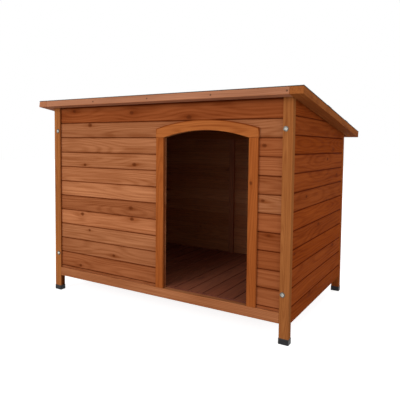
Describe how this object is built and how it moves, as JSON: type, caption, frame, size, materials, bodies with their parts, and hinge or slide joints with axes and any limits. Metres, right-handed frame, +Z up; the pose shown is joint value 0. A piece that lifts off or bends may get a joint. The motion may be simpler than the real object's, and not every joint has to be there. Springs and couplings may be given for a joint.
{
  "type": "dog house",
  "caption": "Timber dog house of horizontal tongued boards on corner posts, with an arched doorway and a lean-to felted roof that lifts on rear hinges and a prop.",
  "frame": {"origin": "on the ground below the middle of the whole house, roof overhangs included", "axes": "+X along the long front, to the right as seen from the doorway; +Y into the house, towards the low rear; +Z up"},
  "size_m": [1.158, 0.782, 0.817],
  "materials": {
    "boards": "horizontal tongued softwood boards, stained light orange-brown, satin",
    "trim": "planed softwood posts, rails, facings and roof battens, stained deeper orange, satin",
    "inner_timber": "sawn softwood battens, floor boards and roof deck, stained brown-orange, matt",
    "felt": "dark grey-green mineral-surfaced roofing felt",
    "shoes": "black moulded plastic",
    "steel": "bright zinc plate"
  },
  "bodies": {
    "house": {"post_front_left": "trim", "shoe_front_left": "shoes", "bolt_front_left_low": "steel", "bolt_front_left_high": "steel", "post_front_right": "trim", "shoe_front_right": "shoes", "bolt_front_right_low": "steel", "bolt_front_right_high": "steel", "post_rear_left": "trim", "shoe_rear_left": "shoes", "bolt_rear_left_low": "steel", "bolt_rear_left_high": "steel", "post_rear_right": "trim", "shoe_rear_right": "shoes", "bolt_rear_right_low": "steel", "bolt_rear_right_high": "steel", "front_bottom_rail": "trim", "front_top_board": "boards", "front_arch_board": "boards", "front_boards_left": "boards", "front_boards_right": "boards", "front_top_rail": "inner_timber", "door_jamb_left": "trim", "door_jamb_right": "trim", "door_header": "trim", "rear_bottom_rail": "trim", "rear_top_rail": "trim", "rear_boards": "boards", "rear_centre_batten": "inner_timber", "left_side_boards": "boards", "front_left_corner_batten": "inner_timber", "rear_left_corner_batten": "inner_timber", "left_top_batten": "inner_timber", "right_side_boards": "boards", "front_right_corner_batten": "inner_timber", "rear_right_corner_batten": "inner_timber", "right_top_batten": "inner_timber", "floor_bearer_front": "inner_timber", "floor_bearer_rear": "inner_timber", "floor_bearer_middle": "inner_timber", "floor_panel_left": "inner_timber", "floor_panel_right": "inner_timber", "hinge_left_wall_leaf": "steel", "hinge_left_pin": "steel", "hinge_right_wall_leaf": "steel", "hinge_right_pin": "steel", "prop_catch": "inner_timber"},
    "roof": {"roof_felt": "felt", "roof_deck": "inner_timber", "roof_front_fascia": "trim", "roof_rear_batten": "trim", "roof_barge_left": "trim", "roof_barge_right": "trim", "roof_cross_batten_left": "inner_timber", "roof_cross_batten_right": "inner_timber", "hinge_left_roof_leaf": "steel", "hinge_right_roof_leaf": "steel", "prop_clip": "steel", "prop_pivot_screw": "steel"},
    "prop": {"prop_arm": "inner_timber"}
  },
  "joints": [
    {"name": "roof_lift", "type": "hinge", "parent": "house", "child": "roof", "pos_m": [0, 0.3225, 0.70017], "axis": [-1, 0, 0], "range_deg": [0, 60]},
    {"name": "prop_swing", "type": "hinge", "parent": "roof", "child": "prop", "pos_m": [0, 0.00336, 0.73797], "axis": [1, 0, 0], "range_deg": [0, 153.32]}
  ]
}
